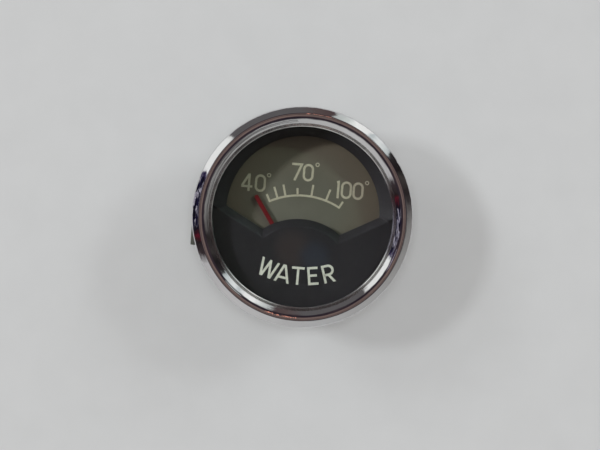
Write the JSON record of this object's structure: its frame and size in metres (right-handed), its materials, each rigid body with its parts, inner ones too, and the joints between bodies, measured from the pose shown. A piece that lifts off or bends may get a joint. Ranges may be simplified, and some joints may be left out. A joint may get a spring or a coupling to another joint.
{
  "type": "water temperature gauge",
  "caption": "Round dashboard water temperature gauge: chromed V-section bezel, masked dial, red needle, heated bimetal movement, rear terminals, push-in lamp and U-shaped clamp bracket",
  "frame": {"origin": "on the gauge's axis in the plane of the panel's front face, where the bezel's back sits: the panel_seat mount", "axes": "+Z out of the dial towards the viewer, +Y to the top of the dial, +X to the dial's right; the case goes through the panel along -Z"},
  "size_m": [0.06, 0.06, 0.0529],
  "materials": {
    "chrome": "polished",
    "bright_lip": "finely serrated",
    "clear_glass": "clear",
    "seal_rubber": "matt",
    "plated_steel": "dull zinc plate",
    "bright_steel": "bright",
    "dark_steel": "oiled spring steel",
    "bracket_steel": "grey-green passivated plate",
    "black_mask": "matt black moulding",
    "dial_paint": "matt olive grey",
    "needle_red": "dark red",
    "brass": "dulled",
    "bulb_brass": "nickel-washed",
    "bimetal": "rolled strip",
    "woven_sleeve": "woven",
    "resistance_wire": "oxidised wire",
    "lead_varnish": "varnished",
    "phenolic": "laminated",
    "solder": "dull solder",
    "bulb_glass": "clear",
    "filament_wire": "drawn wire"
  },
  "bodies": {
    "gauge": {"bezel": "chrome", "lip_ring": "bright_lip", "glass": "clear_glass", "glass_seal": "seal_rubber", "case": "plated_steel", "mask": "black_mask", "dial_plate": "dial_paint", "dial_screws": "bright_steel", "dial_pillars": "brass", "needle_stops": "bright_steel", "spindle_bushes": "brass", "bearing_bridge": "plated_steel", "bridge_screws": "bright_steel", "movement_plate": "plated_steel", "compensating_leg": "bimetal", "zero_sector": "plated_steel", "sector_rivet": "brass", "winding_leads": "lead_varnish", "terminal_strips": "brass", "terminal_studs": "brass", "inner_insulators": "phenolic", "outer_insulators": "phenolic", "terminal_washers": "brass", "terminal_nuts": "brass", "clamp_studs": "plated_steel", "frame_nuts": "plated_steel", "case_nuts": "plated_steel"},
    "pointer": {"needle": "needle_red", "needle_hub": "brass", "spindle": "bright_steel", "crank": "bright_steel"},
    "bimetal": {"bimetal_arm": "bimetal", "arm_insulation": "woven_sleeve", "heater_winding": "resistance_wire", "drive_fork": "bright_steel"},
    "bracket": {"clamp_bracket": "bracket_steel", "spring_washers": "dark_steel"},
    "nut_left": {"clamp_nut_left": "brass"},
    "nut_right": {"clamp_nut_right": "brass"},
    "lamp": {"lamp_socket": "plated_steel", "lamp_insulator": "phenolic", "lamp_contact": "brass"},
    "bulb": {"bulb_cap": "bulb_brass", "bulb_tip": "solder", "bulb_glass": "bulb_glass", "bulb_filament": "filament_wire"}
  },
  "joints": [
    {"name": "needle_swing", "type": "hinge", "parent": "gauge", "child": "pointer", "pos_m": [0, -0.0143, 0], "axis": [0, 0, -1], "range_deg": [0, 69], "stiffness_Nm_per_rad": 0.00002},
    {"name": "bimetal_bend", "type": "hinge", "parent": "gauge", "child": "bimetal", "pos_m": [-0.015, -0.0143, 0], "axis": [0, 0, 1], "range_deg": [0, 11]},
    {"name": "bracket_slide", "type": "slide", "parent": "gauge", "child": "bracket", "axis": [0, 0, 1], "range_m": [-0.004, 0.0007]},
    {"name": "nut_spin_left", "type": "hinge", "parent": "bracket", "child": "nut_left", "pos_m": [-0.0155, -0.0034, 0], "axis": [0, 0, 1], "continuous": true},
    {"name": "nut_spin_right", "type": "hinge", "parent": "bracket", "child": "nut_right", "pos_m": [0.0155, -0.0034, 0], "axis": [0, 0, 1], "continuous": true},
    {"name": "lamp_pull", "type": "slide", "parent": "gauge", "child": "lamp", "axis": [0, 0, 1], "range_m": [-0.016, 0]},
    {"name": "bulb_twist", "type": "hinge", "parent": "lamp", "child": "bulb", "pos_m": [0, 0.014, 0], "axis": [0, 0, 1], "range_deg": [0, 30]}
  ],
  "couplings": [
    {"joint": "bimetal_bend", "follows": "needle_swing", "ratio": 0.1565}
  ]
}
